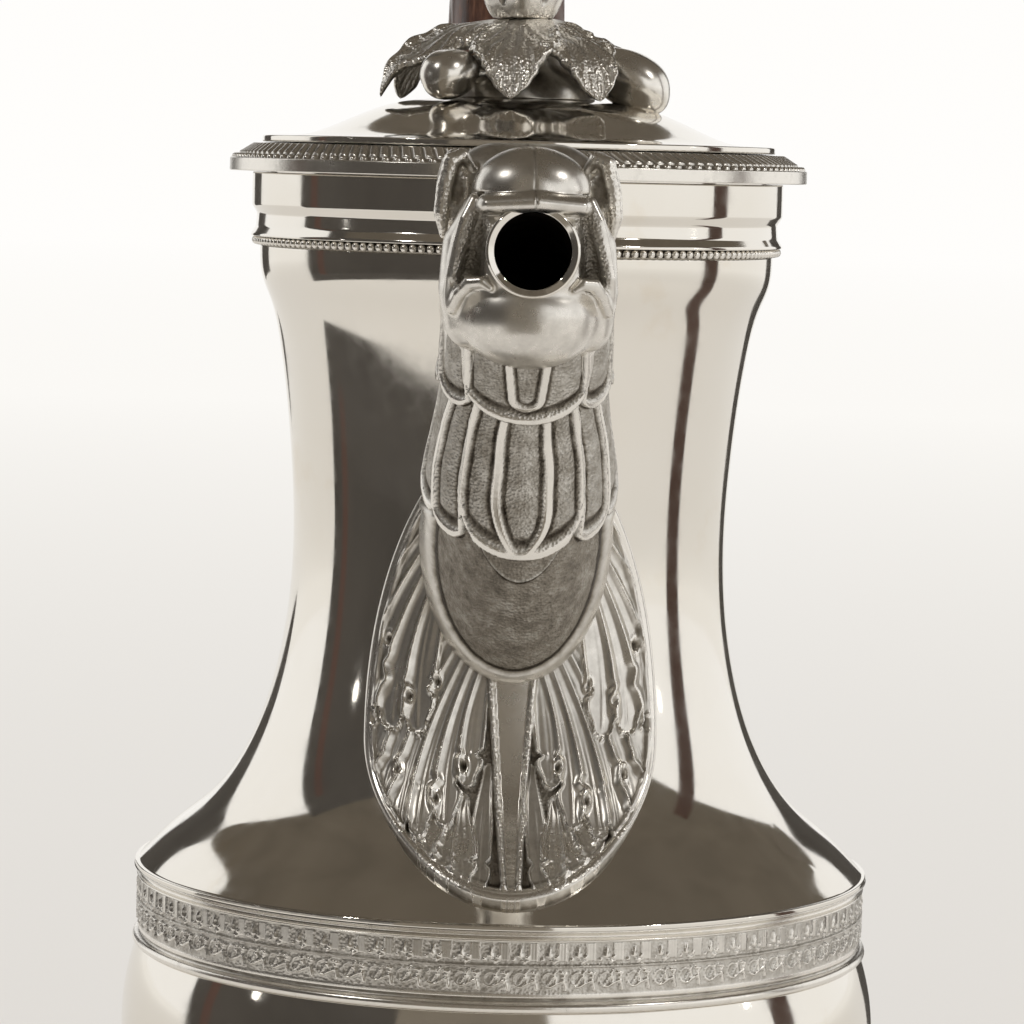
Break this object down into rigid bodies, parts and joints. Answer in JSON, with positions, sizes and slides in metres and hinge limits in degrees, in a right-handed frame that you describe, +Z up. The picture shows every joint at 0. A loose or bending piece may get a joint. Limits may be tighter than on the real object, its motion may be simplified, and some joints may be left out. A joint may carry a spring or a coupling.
{
  "type": "silver coffee pot",
  "caption": "Footed silver coffee pot with an animal-head spout over a leafy plate, a hinged lid with a leafy finial and a dark wooden loop handle.",
  "frame": {"origin": "on the table, at the centre of the three feet, on the axis of the body", "axes": "+Z up, the spout points to -Y and the handle to +Y"},
  "size_m": [0.126, 0.2131, 0.2666],
  "materials": {
    "polished_silver": "polished",
    "chased_silver": "satin",
    "dark_wood": "polished"
  },
  "bodies": {
    "pot": {"lower_bowl": "polished_silver", "shoulder_frieze": "chased_silver", "neck_shell": "polished_silver", "bead_ring": "chased_silver", "collar_band": "polished_silver", "spout_plate": "chased_silver", "spout_tube": "chased_silver", "spout_head": "chased_silver", "spout_mouth_ring": "polished_silver", "hinge_body_leaf": "polished_silver", "hinge_pin": "polished_silver", "handle_socket_upper": "polished_silver", "handle_socket_lower": "polished_silver", "handle_grip": "dark_wood", "handle_pins": "polished_silver", "leg_front": "chased_silver", "leg_right": "chased_silver", "leg_left": "chased_silver", "leg_palmette_front": "chased_silver", "leg_palmette_right": "chased_silver", "leg_palmette_left": "chased_silver"},
    "lid": {"lid_border": "chased_silver", "lid_bezel": "polished_silver", "lid_cover": "polished_silver", "hinge_lid_leaf": "polished_silver", "finial_stud": "polished_silver", "finial_nut": "polished_silver", "finial_mound": "chased_silver", "finial_leaves": "chased_silver", "finial_buds": "chased_silver", "finial_knob": "chased_silver"}
  },
  "joints": [
    {"name": "lid_hinge", "type": "hinge", "parent": "pot", "child": "lid", "pos_m": [0, 0.05025, 0.21265], "axis": [-1, 0, 0], "range_deg": [0, 75]}
  ]
}
